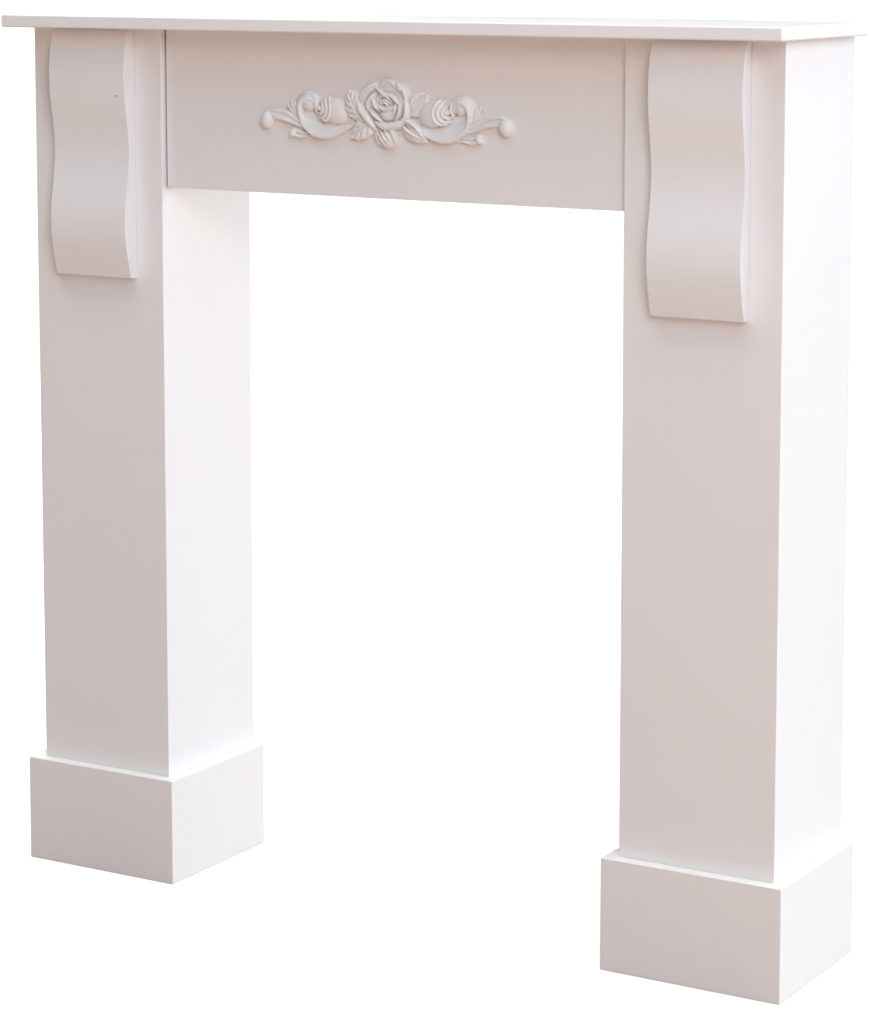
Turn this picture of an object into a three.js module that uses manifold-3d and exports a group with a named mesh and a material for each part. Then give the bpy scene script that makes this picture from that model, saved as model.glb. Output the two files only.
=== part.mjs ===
// A white lacquered mantelpiece for a fireplace: a thin shelf on two box legs with plinths,
// a frieze between them, a wavy bracket on each leg and a cast rose swag on the frieze.
// Millimetres, +X to the right, +Y to the back (the wall side), +Z up.
// The origin is on the floor, under the middle of the shelf.

import * as THREE from 'three';
import { mergeVertices } from 'three/addons/utils/BufferGeometryUtils.js';
import Module from 'manifold-3d';

const wasm = await Module();
wasm.setup();

// Overall sizes
const legsSpan = 1000; // across the outer faces of both legs
const shelfUnderside = 1045; // floor to the underside of the shelf
const board = 15; // every flat piece is cut from this board
const wallPlane = 115; // the flush back of legs, plinths and shelf
const touchGap = 0.3; // between two pieces that touch

// Shelf. Its ends stand in line with the outer faces of the plinths.
const shelfFrontOverhang = 45; // in front of the legs
const shelfArris = 1.5; // eased edge of the shelf

// Legs
const legWidth = 190;
const legDepth = 185;

// Plinths
const plinthHeight = 130;

// Frieze
const friezeHeight = 190;
const friezeRecess = 8; // behind the front of the legs
const friezeEndGap = 0.8; // the fine open joint at each end

// Brackets
const bracketWidth = 112;
const bracketHeight = 300;
const bracketTopDepth = 6; // how far the face stands out from the leg
const bracketUpperBulge = 22;
const bracketWaist = 12.8;
const bracketLowerBulge = 22.5;
const bracketFootDepth = 11.5;
const bracketUpperAt = 0.2; // share of the height, from the top
const bracketWaistAt = 0.49;
const bracketLowerAt = 0.785;
const bracketStepsPerWave = 14;

// Rose swag. Its carving is laid out in swag units, one of them a millimetre at this length.
const swagLength = 340;
const swagLayoutLength = 340;
const swagBase = 1.6; // thinnest edge of the casting
const swagLowest = -41; // the layout's lower and upper limits, from its centre line
const swagHighest = 46;
const swagGrid = 2.2; // spacing of the facets
const swagReach = 0.48; // a grid point moves onto the outline from this share of the spacing

// Materials
const lacquer = new THREE.MeshStandardMaterial({ color: 0xf1eeee, roughness: 0.45, metalness: 0 });
const castPaint = new THREE.MeshStandardMaterial({ color: 0xefeaea, roughness: 0.5, metalness: 0 });

// Planes that several pieces share
const legFront = wallPlane - legDepth;
const shelfFront = legFront - shelfFrontOverhang;
const friezeFront = legFront + friezeRecess;
const friezeBottom = shelfUnderside - friezeHeight;
const legTop = shelfUnderside - touchGap;
const plinthWrap = board + touchGap; // how far a plinth stands out from its leg
const plinthFront = legFront - plinthWrap;
const openingHalf = legsSpan / 2 - legWidth;

const mantelpiece = new THREE.Group();

function addPiece(name, geometry, material) {
  const piece = new THREE.Mesh(geometry, material);
  piece.name = name;
  mantelpiece.add(piece);
  return piece;
}

// A flat board between two opposite corners
function addBoard(name, corner, opposite) {
  const size = opposite.map((value, axis) => Math.abs(value - corner[axis]));
  const piece = addPiece(name, new THREE.BoxGeometry(...size), lacquer);
  piece.position.set(...opposite.map((value, axis) => (value + corner[axis]) / 2));
}

// The shelf, one board with its edges eased
function addShelf() {
  const half = legsSpan / 2 + plinthWrap - shelfArris;
  const outline = new THREE.Shape();
  outline.moveTo(-half, shelfFront + shelfArris);
  outline.lineTo(half, shelfFront + shelfArris);
  outline.lineTo(half, wallPlane - shelfArris);
  outline.lineTo(-half, wallPlane - shelfArris);
  outline.closePath();
  const geometry = new THREE.ExtrudeGeometry(outline, {
    depth: board - 2 * shelfArris,
    bevelThickness: shelfArris,
    bevelSize: shelfArris,
    bevelSegments: 3,
  });
  const shelf = addPiece('shelf', geometry, lacquer);
  shelf.position.z = shelfUnderside + shelfArris;
}

// Three boards round an open back: one across the front, and one behind it at either end.
// outer and inner are the places of their outer faces, and side is -1 on the left, 1 on the right.
function addOpenBox(label, side, outer, inner, front, top) {
  const sideFront = front + board + touchGap;
  addBoard(`${label}_front_board`, [outer, front, 0], [inner, front + board, top]);
  addBoard(`${label}_outer_side`, [outer, sideFront, 0], [outer - side * board, wallPlane, top]);
  addBoard(`${label}_inner_side`, [inner, sideFront, 0], [inner + side * board, wallPlane, top]);
}

function addLeg(label, side) {
  addOpenBox(`${label}_leg`, side, side * legsSpan / 2, side * openingHalf, legFront, legTop);
}

// A plinth is wrapped round the foot of its leg
function addPlinth(label, side) {
  const outer = side * (legsSpan / 2 + plinthWrap);
  const inner = side * (openingHalf - plinthWrap);
  addOpenBox(`${label}_plinth`, side, outer, inner, plinthFront, plinthHeight);
}

// The panel between the legs, hung under the shelf
function addFrieze() {
  const half = openingHalf - friezeEndGap;
  addBoard('frieze_panel', [-half, friezeFront, friezeBottom], [half, friezeFront + board, legTop]);
}

// How far a bracket's face stands out at a share of its height, 0 at the top:
// a quarter round out to the upper bulge, two half cosine waves, and a quarter wave in to the foot.
function bracketDepth(share) {
  const wave = (from, to, turn) => from + (to - from) * (1 - Math.cos(Math.PI * turn)) / 2;
  const between = (from, to) => (share - from) / (to - from);
  if (share < bracketUpperAt) {
    const left = 1 - share / bracketUpperAt;
    return bracketTopDepth + (bracketUpperBulge - bracketTopDepth) * Math.sqrt(1 - left * left);
  }
  if (share < bracketWaistAt) {
    return wave(bracketUpperBulge, bracketWaist, between(bracketUpperAt, bracketWaistAt));
  }
  if (share < bracketLowerAt) {
    return wave(bracketWaist, bracketLowerBulge, between(bracketWaistAt, bracketLowerAt));
  }
  const turn = between(bracketLowerAt, 1);
  return bracketFootDepth + (bracketLowerBulge - bracketFootDepth) * Math.cos(Math.PI * turn / 2);
}

// A bracket is its side profile, extruded across the middle of the leg's front
function addBracket(label, side) {
  const stops = [0, bracketUpperAt, bracketWaistAt, bracketLowerAt, 1];
  const shares = [0];
  for (let wave = 1; wave < stops.length; wave += 1) {
    for (let step = 1; step <= bracketStepsPerWave; step += 1) {
      // the quarter round starts with short steps, where its face turns fastest
      const even = step / bracketStepsPerWave;
      const eased = wave === 1 ? 1 - Math.cos(Math.PI * even / 2) : even;
      shares.push(stops[wave - 1] + (stops[wave] - stops[wave - 1]) * eased);
    }
  }
  const profile = new THREE.Shape();
  profile.moveTo(0, 0);
  for (const share of shares) {
    profile.lineTo(bracketDepth(share), -share * bracketHeight);
  }
  profile.lineTo(0, -bracketHeight);
  profile.closePath();
  const geometry = new THREE.ExtrudeGeometry(profile, { depth: bracketWidth, bevelEnabled: false });
  // profile x runs out from the leg, profile y runs up, and the extrusion runs across
  geometry.applyMatrix4(new THREE.Matrix4().set(
    0, 0, -1, bracketWidth / 2,
    -1, 0, 0, 0,
    0, 1, 0, 0,
    0, 0, 0, 1,
  ));
  const bracket = addPiece(`${label}_bracket`, geometry, lacquer);
  bracket.position.set(side * (legsSpan - legWidth) / 2, legFront - touchGap, legTop);
}

// Carving of the rose swag: each part gives, at a point, how far inside its edge the point is
// and how high its surface stands there. The casting is the highest part at every point.

function clamp(value, low, high) {
  return Math.min(high, Math.max(low, value));
}

function smoothStep(from, to, value) {
  const t = clamp((value - from) / (to - from), 0, 1);
  return t * t * (3 - 2 * t);
}

function spread(values, share) {
  const place = clamp(share, 0, 1) * (values.length - 1);
  const index = Math.min(Math.floor(place), values.length - 2);
  return values[index] + (values[index + 1] - values[index]) * (place - index);
}

// A rounded strip along a smooth path. lean moves its ridge towards one edge, hollow cuts a channel.
function strip({ path, width, crest, lean = 0, hollow = 0, flat = 2 }) {
  const line = new THREE.SplineCurve(path.map(([x, y]) => new THREE.Vector2(x, y))).getPoints(28);
  const lengths = [0];
  for (let k = 1; k < line.length; k += 1) {
    lengths.push(lengths[k - 1] + line[k].distanceTo(line[k - 1]));
  }
  const total = lengths[lengths.length - 1];
  return (x, y) => {
    let near = Infinity;
    let side = 1;
    let share = 0;
    for (let k = 1; k < line.length; k += 1) {
      const a = line[k - 1];
      const dx = line[k].x - a.x;
      const dy = line[k].y - a.y;
      const step = clamp(((x - a.x) * dx + (y - a.y) * dy) / (dx * dx + dy * dy), 0, 1);
      const gap = Math.hypot(x - a.x - step * dx, y - a.y - step * dy);
      if (gap < near) {
        near = gap;
        side = Math.sign(dx * (y - a.y) - dy * (x - a.x)) || 1;
        share = (lengths[k - 1] + step * (lengths[k] - lengths[k - 1])) / total;
      }
    }
    const half = spread(width, share);
    const across = clamp(side * near / half, -1, 1);
    const steep = across > lean === lean >= 0;
    const reach = across > lean ? (across - lean) / (1 - lean) : (lean - across) / (1 + lean);
    const section = lean && !steep ? 1 - reach ** 1.2 : Math.sqrt(Math.max(0, 1 - reach ** flat));
    const fade = smoothStep(0, 0.15, share) * smoothStep(0, 0.15, 1 - share);
    const channel = hollow * Math.exp(-((across / 0.42) ** 2)) * fade;
    return [half - near, swagBase + (spread(crest, share) - swagBase) * (section - channel)];
  };
}

// An egg-shaped swelling
function dome({ at, size, turn = 0, crest, flat = 2 }) {
  const angle = THREE.MathUtils.degToRad(turn);
  return (x, y) => {
    const along = (x - at[0]) * Math.cos(angle) + (y - at[1]) * Math.sin(angle);
    const across = -(x - at[0]) * Math.sin(angle) + (y - at[1]) * Math.cos(angle);
    const out = Math.hypot(along / size[0], across / size[1]);
    const section = Math.sqrt(Math.max(0, 1 - out ** flat));
    return [(1 - out) * Math.min(...size), swagBase + (crest - swagBase) * section];
  };
}

// A pointed leaf with a midrib groove and side veins
function leaf({ foot, tip, width, crest, bend = 0, veins = 4, cut = 1, rib = 1.2 }) {
  const length = Math.hypot(tip[0] - foot[0], tip[1] - foot[1]);
  const dx = (tip[0] - foot[0]) / length;
  const dy = (tip[1] - foot[1]) / length;
  return (x, y) => {
    const share = ((x - foot[0]) * dx + (y - foot[1]) * dy) / length;
    const off = Math.abs((y - foot[1]) * dx - (x - foot[0]) * dy - bend * 4 * share * (1 - share));
    const held = clamp(share, 0.0001, 0.9999);
    const half = width * Math.sin(Math.PI * held ** 0.85) ** 0.75;
    const across = clamp(off / half, 0, 1);
    const inside = Math.min(half - off, share * length, (1 - share) * length);
    const swell = (0.45 + 0.55 * Math.sqrt(1 - across * across)) * (0.6 + 0.4 * Math.sin(Math.PI * held));
    const phase = veins * (held - 0.28 * across);
    const vein = Math.exp(-(((phase - Math.round(phase)) / 0.16) ** 2)) * smoothStep(0.05, 0.3, across);
    const groove = rib * Math.exp(-((off / 0.9) ** 2)) * smoothStep(0, 0.2, 1 - held);
    return [inside, swagBase + (crest - swagBase) * swell - groove - cut * vein * (1 - 0.3 * across)];
  };
}

// The rolled edge of a petal: an arc, steep and round outside, hollow inside
function petal({ at, radius, from, to, crest, roll = 2.6, skirt = 9, drop = 4.5 }) {
  const middle = THREE.MathUtils.degToRad((from + to) / 2);
  const half = THREE.MathUtils.degToRad((to - from) / 2);
  return (x, y) => {
    const dx = x - at[0];
    const dy = y - at[1];
    const turn = Math.atan2(dy, dx) - middle;
    const wrapped = Math.atan2(Math.sin(turn), Math.cos(turn));
    const held = clamp(wrapped, -half, half);
    const within = Math.abs(wrapped) <= half;
    const endX = radius * Math.cos(middle + held);
    const endY = radius * Math.sin(middle + held);
    const out = within ? Math.hypot(dx, dy) - radius : Math.hypot(dx - endX, dy - endY);
    const top = swagBase + (crest - swagBase) * (1 - 0.35 * Math.abs(held / half) ** 3);
    if (out >= 0) {
      return [roll - out, swagBase + (top - swagBase) * Math.sqrt(Math.max(0, 1 - (out / roll) ** 2))];
    }
    return [skirt + out, top - drop * Math.sin(Math.PI / 2 * clamp(-out / skirt, 0, 1))];
  };
}

// What one side of the swag repeats on the other: scroll, bowl, rosebud, husk and scroll end
function sideParts() {
  const husks = [[120, 15.5], [126, 15], [131.5, 10.5]];
  const budEnd = [[80.5, 7], [81.5, 7], [82.5, 6.5]];
  return [
    // the thin web that joins them
    strip({
      path: [[50, -8], [72, -12], [92, -11], [104, -4], [108, 6]],
      width: [6, 9, 10, 9, 6],
      crest: [3, 3],
      flat: 8,
    }),
    // the bowl, with its ridge along the lower edge
    strip({
      path: [[48, -14], [60, -19.5], [76, -23], [92, -22.5], [105, -15.5], [112, -5]],
      width: [1.5, 4.5, 6.5, 7, 5.5, 4],
      crest: [5, 7.5, 8, 8, 8, 7],
      lean: -0.72,
    }),
    // the scroll over the bowl, curled in at its head
    strip({
      path: [[110, -9], [115.5, 2], [114.5, 13], [107, 20], [98, 20.5], [92, 15], [91.5, 7], [96, 2.5]],
      width: [3.5, 4.6, 5.4, 5.6, 5.2, 4.2, 3.2, 2.2],
      crest: [6.5, 8, 8.6, 9, 9, 8.5, 8, 7],
    }),
    dome({ at: [102, 11], size: [7.5, 6.5], turn: 30, crest: 8.2 }),
    // the low leaf that runs out under the bowl
    strip({
      path: [[98, -22], [110, -23.5], [119, -25.5], [128, -23]],
      width: [2.6, 3.4, 4.6, 3.6],
      crest: [4.5, 5, 5.6, 4.5],
      lean: -0.3,
    }),
    ...husks.map((tip) => strip({
      path: [[116.5, -4], [(116.5 + tip[0]) / 2 + 1.2, (tip[1] - 4) / 2 - 1.5], tip],
      width: [2, 2.5, 1.2],
      crest: [4.5, 6, 4.5],
    })),
    // the fluted stem and the curl at the end
    strip({
      path: [[110, -14], [122, -9.5], [134, -4], [146, -2.5], [156, -3]],
      width: [3.5, 5.5, 6.4, 6, 5.5],
      crest: [5, 6.2, 6.6, 7, 7.5],
      hollow: 0.42,
    }),
    strip({
      path: [[150, 0], [160, 0.5], [165.5, -6], [164, -13.5], [157.5, -15]],
      width: [4, 4.6, 4.6, 4.4, 3.4],
      crest: [7, 8.4, 9, 8.5, 7],
    }),
    dome({ at: [158, -9], size: [6.5, 7], crest: 9 }),
    // the rosebud and its curled end
    dome({ at: [67, 5.5], size: [21, 13.5], turn: 24, crest: 9.6 }),
    petal({ at: budEnd[0], radius: 12.5, from: 95, to: 262, crest: 10.6, roll: 1.8, skirt: 4, drop: 1.8 }),
    petal({ at: budEnd[1], radius: 8.6, from: 40, to: 290, crest: 10.4, roll: 1.8, skirt: 3.5, drop: 2 }),
    petal({ at: budEnd[2], radius: 5, from: -160, to: 150, crest: 10.2, roll: 1.7, skirt: 2.6, drop: 2 }),
    dome({ at: [82.8, 6.3], size: [2.4, 2.4], crest: 9.8 }),
  ];
}

// The rose and its leaves, in the middle
function middleParts() {
  return [
    leaf({ foot: [-28, -2], tip: [-46, 29], width: 11, crest: 7.5, bend: 2, veins: 5, cut: 1.5, rib: 1.6 }),
    leaf({ foot: [34, 4], tip: [54, 24], width: 9.5, crest: 5.2, bend: -2, cut: 0.7, rib: 1 }),
    leaf({ foot: [-17, -4], tip: [-42, -25], width: 8.5, crest: 6.4, bend: -1 }),
    leaf({ foot: [-12, -7], tip: [-23, -31], width: 8, crest: 7.4, bend: 1.5 }),
    leaf({ foot: [14, -8], tip: [38, -31], width: 8, crest: 5.6, bend: 1.5, cut: 0.8, rib: 1 }),
    leaf({ foot: [24, -4], tip: [55, -28], width: 7.6, crest: 8.6, bend: -1, rib: 3 }),
    leaf({ foot: [-3, -13], tip: [12, -38], width: 9.5, crest: 7.6, bend: -1.5, veins: 3, cut: 2, rib: 1.5 }),
    dome({ at: [3, 13], size: [30, 27], crest: 7, flat: 6 }),
    // outer petals
    petal({ at: [0, 13], radius: 27, from: 100, to: 172, crest: 9, roll: 3.4, skirt: 12 }),
    petal({ at: [6, 16], radius: 22.5, from: 60, to: 106, crest: 8.4, roll: 3, drop: 3.5 }),
    petal({ at: [6, 14], radius: 24, from: 14, to: 64, crest: 9.2, roll: 3, drop: 4 }),
    petal({ at: [7, 12], radius: 24.5, from: -42, to: 20, crest: 10, roll: 3.4 }),
    petal({ at: [5, 10], radius: 26, from: 172, to: 236, crest: 10.5, roll: 3.6, skirt: 10 }),
    petal({ at: [8, 17], radius: 29.5, from: -122, to: -48, crest: 11.5, roll: 4, skirt: 12 }),
    // inner petals
    petal({ at: [4, 14], radius: 19.5, from: 120, to: 190, crest: 12, roll: 2.4, skirt: 6, drop: 4 }),
    petal({ at: [4, 14], radius: 16.5, from: 8, to: 128, crest: 12.8, roll: 2.8, skirt: 7, drop: 5 }),
    petal({ at: [4.5, 13], radius: 17.5, from: -62, to: 14, crest: 13, roll: 2.6, skirt: 6, drop: 4 }),
    petal({ at: [4, 13], radius: 18.5, from: 188, to: 268, crest: 12.8, roll: 2.6, skirt: 5, drop: 3.5 }),
    petal({ at: [4, 13], radius: 14, from: 180, to: 262, crest: 13.8, roll: 2.4, skirt: 4.5, drop: 3.5 }),
    petal({ at: [6, 14], radius: 8.6, from: -128, to: -30, crest: 14.6, roll: 9, skirt: 4, drop: 3.5 }),
    // the heart
    petal({ at: [5, 15], radius: 8.6, from: -10, to: 150, crest: 14.2, roll: 2.4, skirt: 4, drop: 4 }),
    petal({ at: [4, 15], radius: 4.6, from: 110, to: 350, crest: 14.6, roll: 1.8, skirt: 3, drop: 3 }),
    dome({ at: [4.6, 15.2], size: [2.4, 2.4], crest: 13.6 }),
  ];
}

// The casting's surface at a point of its layout: [how far inside the outline, height]
function swagSurface() {
  const sides = sideParts();
  const middle = middleParts();
  return (x, y) => {
    let inside = -Infinity;
    let height = swagBase;
    const values = [
      ...sides.map((part) => part(x, y)),
      ...sides.map((part) => part(-x, y)),
      ...middle.map((part) => part(x, y)),
    ];
    for (const [depth, level] of values) {
      inside = Math.max(inside, depth);
      if (depth > 0) {
        height = Math.max(height, level);
      }
    }
    return [inside, height];
  };
}

// The swag is a grid of facets over the outline, cut off flat behind where it lies on the frieze.
// Grid points that lie near the outline are moved onto it.
function addSwag() {
  const surface = swagSurface();
  const halfLong = swagLayoutLength / 2 + swagGrid;
  const columns = Math.ceil(2 * halfLong / swagGrid);
  const rows = Math.ceil((swagHighest - swagLowest) / swagGrid);
  const points = [];
  for (let row = 0; row <= rows; row += 1) {
    for (let column = 0; column <= columns; column += 1) {
      points.push(settled(surface, -halfLong + column * swagGrid, swagLowest + row * swagGrid));
    }
  }
  const facets = [];
  for (let row = 0; row < rows; row += 1) {
    for (let column = 0; column < columns; column += 1) {
      const corner = row * (columns + 1) + column;
      const [a, b, c, d] = [corner, corner + 1, corner + columns + 2, corner + columns + 1];
      facets.push(...((row + column) % 2 ? [[a, b, c], [a, c, d]] : [[a, b, d], [b, c, d]]));
    }
  }
  const covered = facets.filter((facet) => {
    const depths = facet.map((index) => points[index].inside);
    return Math.min(...depths) >= 0 && Math.max(...depths) > 0;
  });
  let sheet = largestSheet(covered);
  for (let pinched = pinchPoints(sheet); pinched.size; pinched = pinchPoints(sheet)) {
    const loose = pinched;
    sheet = largestSheet(sheet.filter((facet) => !facet.some((index) => loose.has(index))));
  }
  addPiece('rose_swag', castingGeometry(points, sheet), castPaint);
}

// A grid point with its height, moved onto the outline where it is near
function settled(surface, x, y) {
  const [inside, height] = surface(x, y);
  const probe = 0.05;
  const slopeX = (surface(x + probe, y)[0] - surface(x - probe, y)[0]) / (2 * probe);
  const slopeY = (surface(x, y + probe)[0] - surface(x, y - probe)[0]) / (2 * probe);
  const steepness = slopeX * slopeX + slopeY * slopeY;
  if (Math.abs(inside) > swagReach * swagGrid || steepness < 0.2) {
    return { x, y, inside, height: Math.max(height, swagBase) };
  }
  const limit = swagReach * swagGrid;
  const movedX = x - clamp(inside * slopeX / steepness, -limit, limit);
  const movedY = y - clamp(inside * slopeY / steepness, -limit, limit);
  return { x: movedX, y: movedY, inside: 0, height: Math.max(surface(movedX, movedY)[1], swagBase) };
}

// Directed edges of facets, by name
function edgesOf(facets) {
  const edges = new Map();
  facets.forEach((facet, index) => {
    facet.forEach((from, place) => {
      const to = facet[(place + 1) % 3];
      edges.set(`${from}_${to}`, { from, to, index });
    });
  });
  return edges;
}

// The facets of the largest sheet that edges join
function largestSheet(facets) {
  const edges = edgesOf(facets);
  const seen = new Set();
  let best = [];
  facets.forEach((_, start) => {
    if (seen.has(start)) {
      return;
    }
    seen.add(start);
    const sheet = [start];
    for (const index of sheet) {
      facets[index].forEach((from, place) => {
        const across = edges.get(`${facets[index][(place + 1) % 3]}_${from}`);
        if (across && !seen.has(across.index)) {
          seen.add(across.index);
          sheet.push(across.index);
        }
      });
    }
    best = sheet.length > best.length ? sheet : best;
  });
  return best.map((index) => facets[index]);
}

// Edges with a facet on one side only
function rimOf(facets) {
  const edges = edgesOf(facets);
  return [...edges.values()].filter(({ from, to }) => !edges.has(`${to}_${from}`));
}

// Points where two stretches of the rim touch
function pinchPoints(facets) {
  const visits = new Map();
  rimOf(facets).forEach(({ from }) => visits.set(from, (visits.get(from) ?? 0) + 1));
  return new Set([...visits.keys()].filter((point) => visits.get(point) > 1));
}

// The carved front, a wall along the rim, and a back that is cut off flat on the frieze
function castingGeometry(points, facets) {
  const unit = swagLength / swagLayoutLength;
  const spare = 1; // casting left behind the cut
  const vertices = [];
  const place = (index, out) => vertices.push(points[index].x * unit, out, points[index].y * unit);
  const front = (index) => place(index, -points[index].height * unit);
  const back = (index) => place(index, spare);
  for (const [a, b, c] of facets) {
    [a, b, c].forEach(front);
    [a, c, b].forEach(back);
  }
  for (const { from, to } of rimOf(facets)) {
    front(from);
    back(from);
    back(to);
    front(from);
    back(to);
    front(to);
  }
  const rough = new THREE.BufferGeometry();
  rough.setAttribute('position', new THREE.Float32BufferAttribute(vertices, 3));
  const waste = new THREE.BoxGeometry(2 * swagLength, 4 * spare, swagLength);
  waste.translate(0, 2 * spare, 0);
  const geometry = cutAway(rough, waste);
  geometry.translate(0, friezeFront - touchGap, friezeBottom + friezeHeight / 2);
  return geometry;
}

function solidOf(geometry) {
  const bare = geometry.clone();
  bare.deleteAttribute('normal');
  bare.deleteAttribute('uv');
  const merged = mergeVertices(bare, 1e-5);
  return new wasm.Manifold(new wasm.Mesh({
    numProp: 3,
    vertProperties: new Float32Array(merged.attributes.position.array),
    triVerts: new Uint32Array(merged.index.array),
  }));
}

function cutAway(geometry, waste) {
  const { vertProperties, triVerts } = solidOf(geometry).subtract(solidOf(waste)).getMesh();
  const cut = new THREE.BufferGeometry();
  cut.setAttribute('position', new THREE.BufferAttribute(vertProperties, 3));
  cut.setIndex(new THREE.BufferAttribute(triVerts, 1));
  return cut;
}

addShelf();
for (const [label, side] of [['left', -1], ['right', 1]]) {
  addLeg(label, side);
  addPlinth(label, side);
  addBracket(label, side);
}
addFrieze();
addSwag();

export default mantelpiece;
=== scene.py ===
import math

import bmesh
import bpy
import numpy as np
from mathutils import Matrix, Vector


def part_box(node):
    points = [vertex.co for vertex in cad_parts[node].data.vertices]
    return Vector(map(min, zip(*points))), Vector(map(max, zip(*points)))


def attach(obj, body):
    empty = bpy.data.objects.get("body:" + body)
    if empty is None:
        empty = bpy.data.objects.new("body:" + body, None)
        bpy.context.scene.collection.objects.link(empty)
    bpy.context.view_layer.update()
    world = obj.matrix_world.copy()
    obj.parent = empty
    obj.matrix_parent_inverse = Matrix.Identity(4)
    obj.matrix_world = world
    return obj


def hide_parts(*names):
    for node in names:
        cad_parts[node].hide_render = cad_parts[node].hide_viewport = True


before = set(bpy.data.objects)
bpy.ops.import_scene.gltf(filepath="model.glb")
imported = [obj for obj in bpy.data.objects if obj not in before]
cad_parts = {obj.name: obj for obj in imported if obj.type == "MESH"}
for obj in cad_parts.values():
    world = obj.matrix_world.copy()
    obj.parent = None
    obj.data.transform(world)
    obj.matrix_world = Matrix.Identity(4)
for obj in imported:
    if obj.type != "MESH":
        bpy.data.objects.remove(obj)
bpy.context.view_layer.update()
mm = 0.001
print("frame loaded:", len(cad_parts), "pieces")


# Materials

def linearColour(hexText):
    # each sRGB channel c becomes ((c + 0.055) / 1.055) to the power 2.4, or c / 12.92 near black
    channels = [int(hexText[k:k + 2], 16) / 255 for k in (1, 3, 5)]
    return tuple(c / 12.92 if c <= 0.04045 else ((c + 0.055) / 1.055) ** 2.4 for c in channels) + (1.0,)


def addNode(tree, kind, sockets=None, **settings):
    # a socket takes a plain value, or the output socket that feeds it
    node = tree.nodes.new(kind)
    for name, value in settings.items():
        setattr(node, name, value)
    for name, value in (sockets or {}).items():
        if isinstance(value, bpy.types.NodeSocket):
            tree.links.new(value, node.inputs[name])
        else:
            node.inputs[name].default_value = value
    return node


lacquer = {
    "white": "#f4f2f2",
    "cloud": "#f0edec",       # where the coat lies a little thinner
    "cloudSize": 170,         # mm across one cloud
    "peelSize": 2.4,          # mm across one dimple, drawn coarser than the real 1 mm so that it shows
    "peelDepth": 0.018,       # mm
    "roughness": (0.36, 0.47),
    "ior": 1.5,
}
castCoat = {
    **lacquer, "white": "#f4f2f1", "cloud": "#efecea", "peelSize": 1.6, "peelDepth": 0.02,
    "roughness": (0.34, 0.44),
    # painted shade: a grey laid into the creases of the carving in place of the shadow they hold
    "paintedCreaseShade": "#988e8b",      # in the creases of the carving
}
noiseRange = (0.3, 0.7)       # nearly all of a noise lies between these


def makeLacquer(name, coat, chip=None):
    # Fibreboard sprayed with satin lacquer: an even soft white with a low wide sheen, faint orange peel
    # where the light grazes it, and hardly visible clouds where the coat is thinner. A chip shows the brown
    # board inside a ball about its middle. In the creases of a carving a greyer tone is painted as shade.
    material = bpy.data.materials.new(name)
    material.use_nodes = True
    tree = material.node_tree
    shader = tree.nodes["Principled BSDF"]
    place = addNode(tree, "ShaderNodeTexCoord").outputs["Object"]
    cloudNoise = addNode(tree, "ShaderNodeTexNoise", {
        "Vector": place, "Scale": 1 / (coat["cloudSize"] * mm), "Detail": 3.0, "Roughness": 0.55})
    tone = addNode(tree, "ShaderNodeMix", {"Factor": cloudNoise.outputs["Fac"]}, data_type="RGBA")
    colourSocket(tone, "A").default_value = linearColour(coat["white"])
    colourSocket(tone, "B").default_value = linearColour(coat["cloud"])

    def overlay(share, hexText):
        # the share of the way from the tone so far to the given colour
        whole = colourSocket(tone, "Result", tone.outputs)
        over = addNode(tree, "ShaderNodeMix", {"Factor": share}, data_type="RGBA")
        tree.links.new(whole, colourSocket(over, "A"))
        colourSocket(over, "B").default_value = linearColour(hexText)
        return over

    # painted shade: the carving's creases are darkened towards a grey, by the share the carved sheet gives each
    # point
    if "paintedCreaseShade" in coat:
        share = addNode(tree, "ShaderNodeAttribute", attribute_name="paintedCreaseShade").outputs["Fac"]
        tone = overlay(share, coat["paintedCreaseShade"])
    if chip:
        middle, radius = [c * mm for c in chip["at"]], chip["bareRadius"] * mm
        away = addNode(tree, "ShaderNodeVectorMath", {0: place, 1: middle}, operation="DISTANCE")
        inside = addNode(tree, "ShaderNodeMapRange", {
            "Value": away.outputs["Value"], "From Min": chip["core"] * radius, "From Max": radius,
            "To Min": 1.0, "To Max": 0.0})
        tone = overlay(inside.outputs["Result"], chip["colour"])
    tree.links.new(colourSocket(tone, "Result", tone.outputs), shader.inputs["Base Color"])
    sheen = addNode(tree, "ShaderNodeMapRange", {
        "Value": cloudNoise.outputs["Fac"], "From Min": noiseRange[0], "From Max": noiseRange[1],
        "To Min": coat["roughness"][0], "To Max": coat["roughness"][1]})
    tree.links.new(sheen.outputs["Result"], shader.inputs["Roughness"])
    peel = addNode(tree, "ShaderNodeTexNoise", {
        "Vector": place, "Scale": 1 / (coat["peelSize"] * mm), "Detail": 1.0, "Roughness": 0.4})
    bump = addNode(tree, "ShaderNodeBump", {
        "Height": peel.outputs["Fac"], "Strength": 1.0, "Distance": coat["peelDepth"] * mm})
    tree.links.new(bump.outputs["Normal"], shader.inputs["Normal"])
    shader.inputs["IOR"].default_value = coat["ior"]
    return material


def colourSocket(node, name, sockets=None):
    # a Mix node has one socket of each name for every kind of data, and the colour one is wanted
    return next(s for s in (sockets or node.inputs) if s.name == name and s.type == "RGBA")


boardLacquer = makeLacquer("satinLacquerOnFibreboard", lacquer)
castLacquer = makeLacquer("satinLacquerOnCastResin", castCoat)

# two colours, the width of a fibre in mm, and the height of the nap in mm
primer = {"pale": "#f3f0ea", "dark": "#eae4da", "fibre": 3.0, "roughness": 0.78, "relief": 0.03}
sawnEdge = {"pale": "#8d7660", "dark": "#6f5a47", "fibre": 1.2, "roughness": 0.9, "relief": 0.08}
fibreSquash = (0.3, 1, 1)     # on the noise's axes, so that its grains are longer along x


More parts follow.
